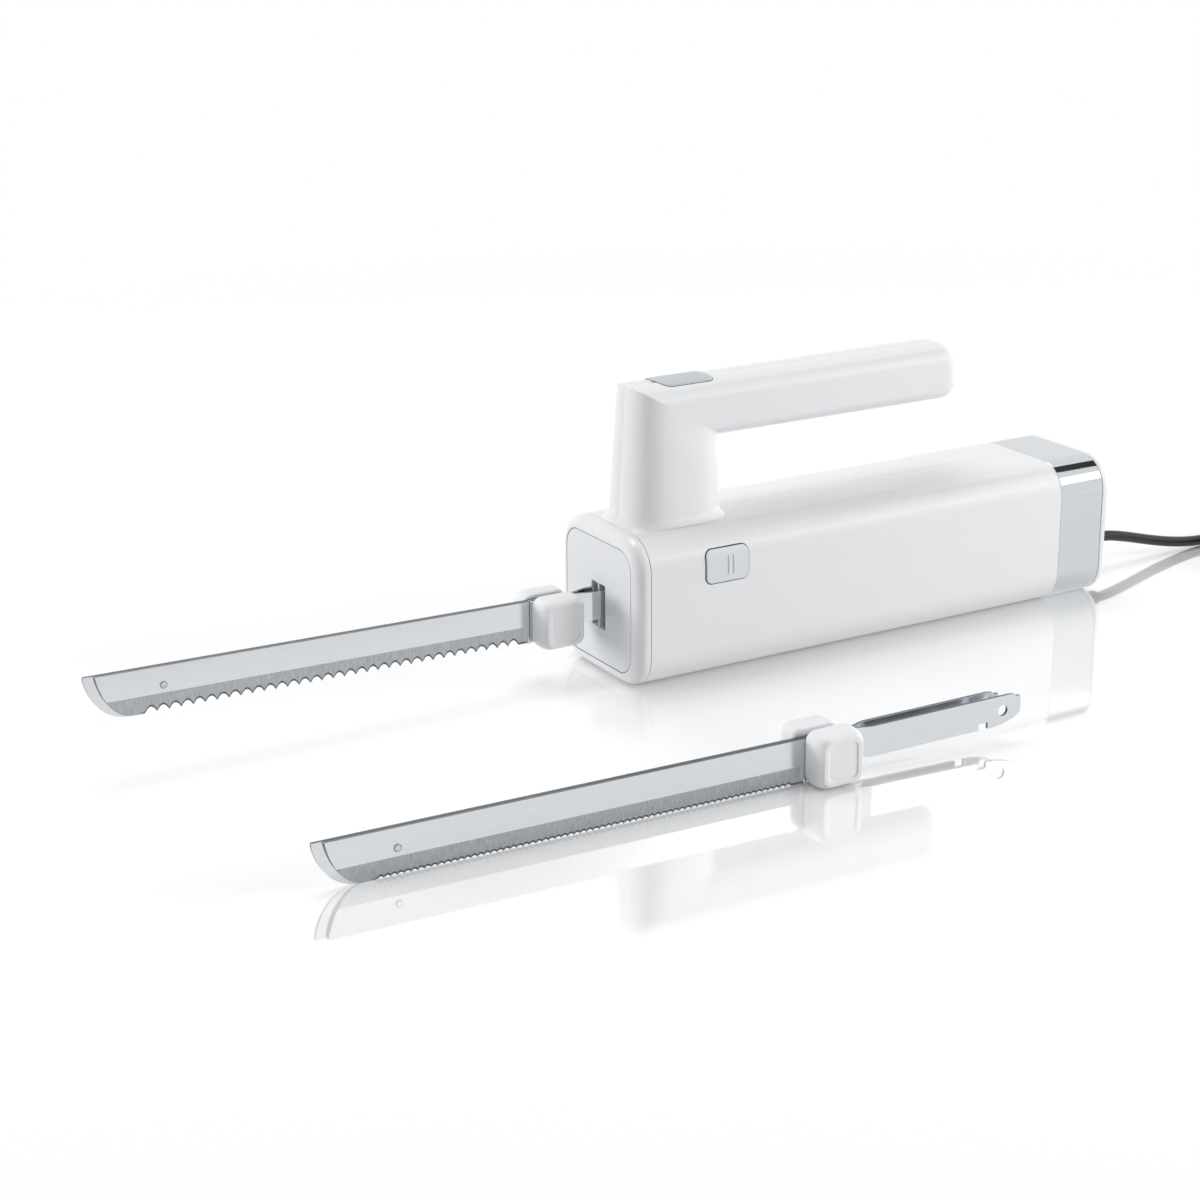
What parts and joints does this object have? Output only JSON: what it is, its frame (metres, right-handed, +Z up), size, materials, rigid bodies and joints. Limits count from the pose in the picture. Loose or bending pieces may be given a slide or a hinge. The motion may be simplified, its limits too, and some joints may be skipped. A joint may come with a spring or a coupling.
{
  "type": "electric carving knife",
  "caption": "Mains electric carving knife with a top handle, reciprocating toothed blades, motor drive, spare blades and a coiled lead.",
  "frame": {"origin": "middle of the body's flat underside, on the table", "axes": "+X from the blades to the lead, +Y to the far side, +Z up"},
  "size_m": [0.7156, 0.1995, 0.1298],
  "materials": {
    "white_gloss": "polished cool white",
    "panel_white": "satin cool white",
    "grey_satin": "satin light grey",
    "guard_white": "soft matt white",
    "band_chrome": "mirror",
    "blade_steel": "satin with a ground edge",
    "rivet_steel": "satin",
    "shaft_steel": "ground",
    "spring_steel": "bright",
    "core_iron": "laminated",
    "copper_wire": "varnished",
    "bronze": "sintered",
    "frame_plastic": "moulded",
    "slide_plastic": "natural",
    "electric_plastic": "moulded",
    "carbon": "pressed",
    "lead_black": "satin",
    "tie_black": "moulded",
    "pin_metal": "plated"
  },
  "bodies": {
    "body": {"housing_left": "white_gloss", "housing_right": "white_gloss", "handle_left": "white_gloss", "handle_right": "white_gloss", "front_cap": "white_gloss", "front_panel": "panel_white", "chrome_band": "band_chrome", "end_plate": "white_gloss", "housing_screws": "shaft_steel", "handle_screws": "shaft_steel", "chassis": "frame_plastic", "carrier_guide": "slide_plastic", "gear_axle": "shaft_steel", "front_bearing": "bronze", "rear_bearing": "bronze", "stator": "core_iron", "field_coils": "copper_wire", "brush_holders": "frame_plastic", "brushes": "carbon", "brush_springs": "spring_steel", "capacitor": "electric_plastic", "terminal_block": "electric_plastic", "inner_leads": "lead_black", "cord_clamp": "frame_plastic", "strain_relief": "lead_black", "inlet_cord": "lead_black", "switch_body": "electric_plastic", "switch_spring": "spring_steel", "near_release_spring": "spring_steel", "far_release_spring": "spring_steel", "spare_far_blade": "blade_steel", "spare_far_guard": "guard_white", "cord_run": "lead_black", "cord_coil": "lead_black", "cord_tie": "tie_black", "plug_body": "lead_black", "plug_pins": "pin_metal"},
    "armature": {"armature_shaft": "shaft_steel", "armature_core": "core_iron", "armature_windings": "copper_wire", "commutator": "copper_wire", "motor_fan": "frame_plastic", "drive_worm": "shaft_steel"},
    "wheel": {"drive_wheel": "slide_plastic"},
    "near_drive": {"near_carrier": "slide_plastic", "near_catch": "spring_steel"},
    "far_drive": {"far_carrier": "slide_plastic", "far_catch": "spring_steel"},
    "near_knife": {"near_blade": "blade_steel", "near_guard": "guard_white", "blade_rivet": "rivet_steel"},
    "far_knife": {"far_blade": "blade_steel", "far_guard": "guard_white"},
    "near_release": {"near_release_button": "grey_satin"},
    "far_release": {"far_release_button": "grey_satin"},
    "power": {"power_button": "grey_satin"},
    "spare_near": {"spare_near_blade": "blade_steel", "spare_near_guard": "guard_white", "spare_rivet": "rivet_steel"}
  },
  "joints": [
    {"name": "armature_spin", "type": "hinge", "parent": "body", "child": "armature", "pos_m": [-0.037, 0, 0.0445], "axis": [1, 0, 0], "range_deg": [-900, 900]},
    {"name": "wheel_spin", "type": "hinge", "parent": "body", "child": "wheel", "pos_m": [-0.037, 0, 0.029], "axis": [0, 1, 0], "range_deg": [-90, 90]},
    {"name": "near_carrier_slide", "type": "slide", "parent": "body", "child": "near_drive", "axis": [1, 0, 0], "range_m": [-0.0045, 0.0045]},
    {"name": "far_carrier_slide", "type": "slide", "parent": "body", "child": "far_drive", "axis": [1, 0, 0], "range_m": [-0.0045, 0.0045]},
    {"name": "near_blade_pull", "type": "slide", "parent": "near_drive", "child": "near_knife", "axis": [-1, 0, 0], "range_m": [0, 0.078], "deforming": ["near_catch"]},
    {"name": "far_blade_pull", "type": "slide", "parent": "far_drive", "child": "far_knife", "axis": [-1, 0, 0], "range_m": [0, 0.078], "deforming": ["far_catch"]},
    {"name": "near_release_press", "type": "slide", "parent": "body", "child": "near_release", "axis": [0, 1, 0], "range_m": [0, 0.0024], "stiffness_N_per_m": 600, "springref_m": -0.001, "deforming": ["near_release_spring"]},
    {"name": "far_release_press", "type": "slide", "parent": "body", "child": "far_release", "axis": [0, -1, 0], "range_m": [0, 0.0024], "stiffness_N_per_m": 600, "springref_m": -0.001, "deforming": ["far_release_spring"]},
    {"name": "power_press", "type": "slide", "parent": "body", "child": "power", "axis": [0, 0, -1], "range_m": [0, 0.002], "stiffness_N_per_m": 1500, "springref_m": -0.001, "deforming": ["switch_spring"]},
    {"name": "spare_blade_slide", "type": "slide", "parent": "body", "child": "spare_near", "axis": [-0.9993, 0.0366, 0], "range_m": [-0.008, 0.008]}
  ],
  "couplings": [
    {"joint": "wheel_spin", "follows": "armature_spin", "ratio": -0.1},
    {"joint": "near_carrier_slide", "follows": "armature_spin", "m_per_rad": -0.00028648},
    {"joint": "far_carrier_slide", "follows": "armature_spin", "m_per_rad": 0.00028648},
    {"joint": "far_blade_pull", "follows": "near_blade_pull", "ratio": 1}
  ]
}
